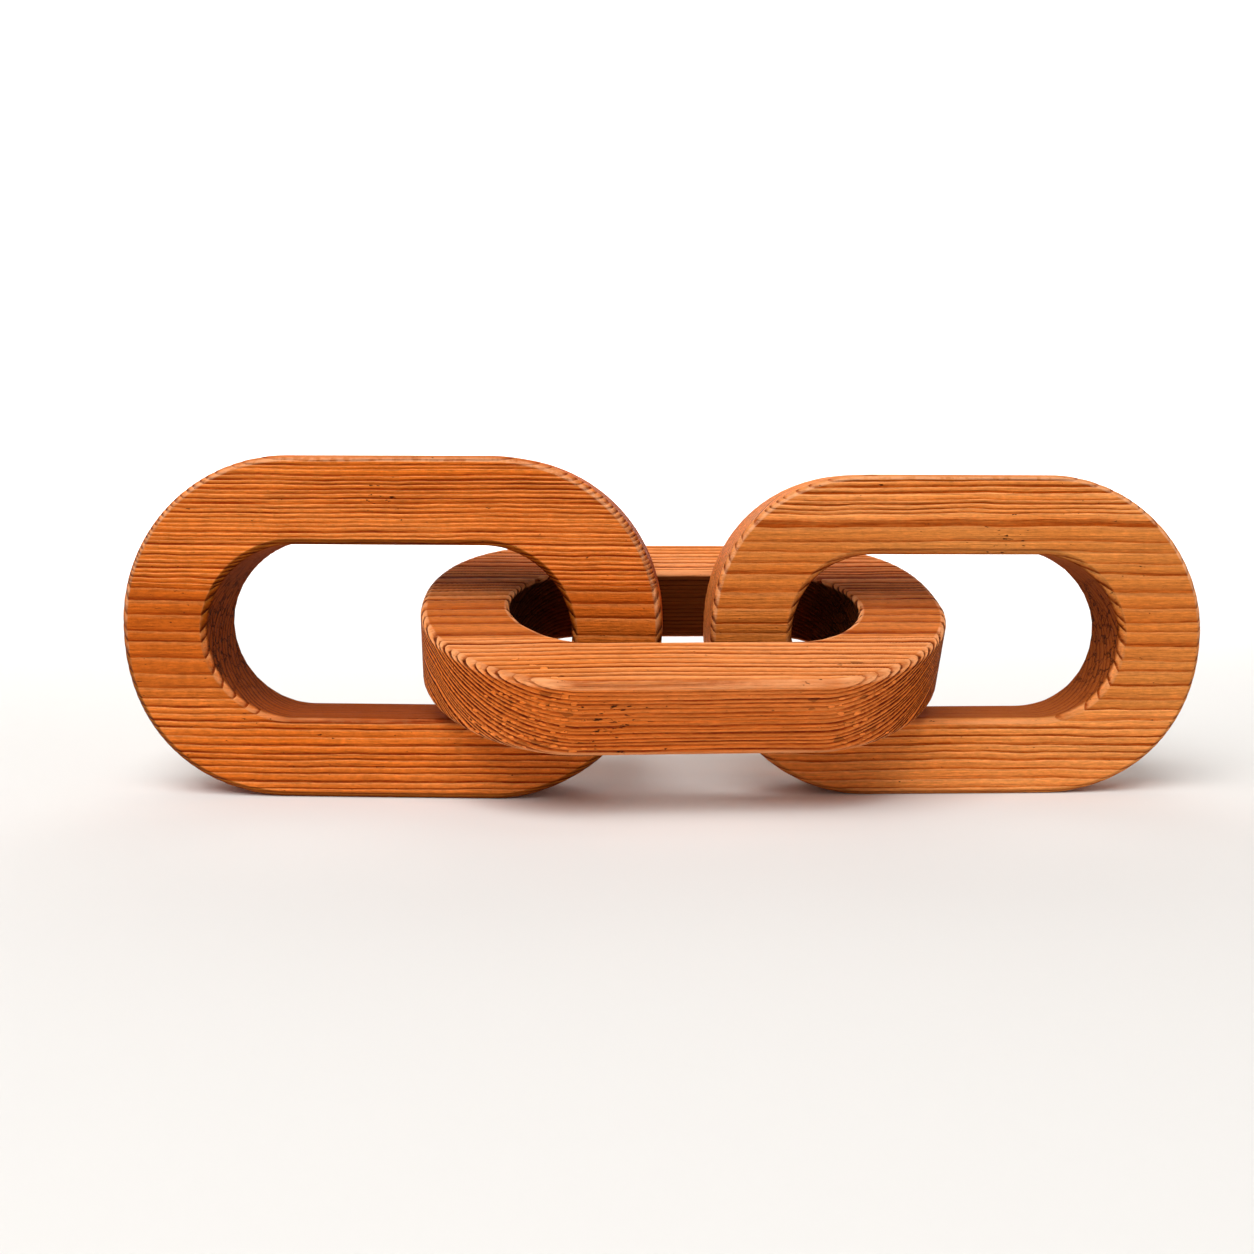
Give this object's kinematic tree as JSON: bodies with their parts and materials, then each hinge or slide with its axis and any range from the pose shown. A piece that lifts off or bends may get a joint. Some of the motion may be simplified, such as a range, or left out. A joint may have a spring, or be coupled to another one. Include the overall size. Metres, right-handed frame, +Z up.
{
  "type": "carved wooden chain",
  "caption": "Loose chain of captive oval links carved from one softwood timber, the end links on edge and the middle link leaning between them.",
  "frame": {"origin": "middle of the chain's box seen from above, on the surface that the end links stand on", "axes": "+Z up, +X along the chain from the larger end link to the smaller one, -Y towards the side that the middle link leans down to"},
  "size_m": [0.2838, 0.0866, 0.089],
  "materials": {
    "fir_wood": "wire-brushed fir, oiled"
  },
  "bodies": {
    "root": {"left_link": "fir_wood", "middle_link": "fir_wood", "right_link": "fir_wood"}
  },
  "joints": []
}
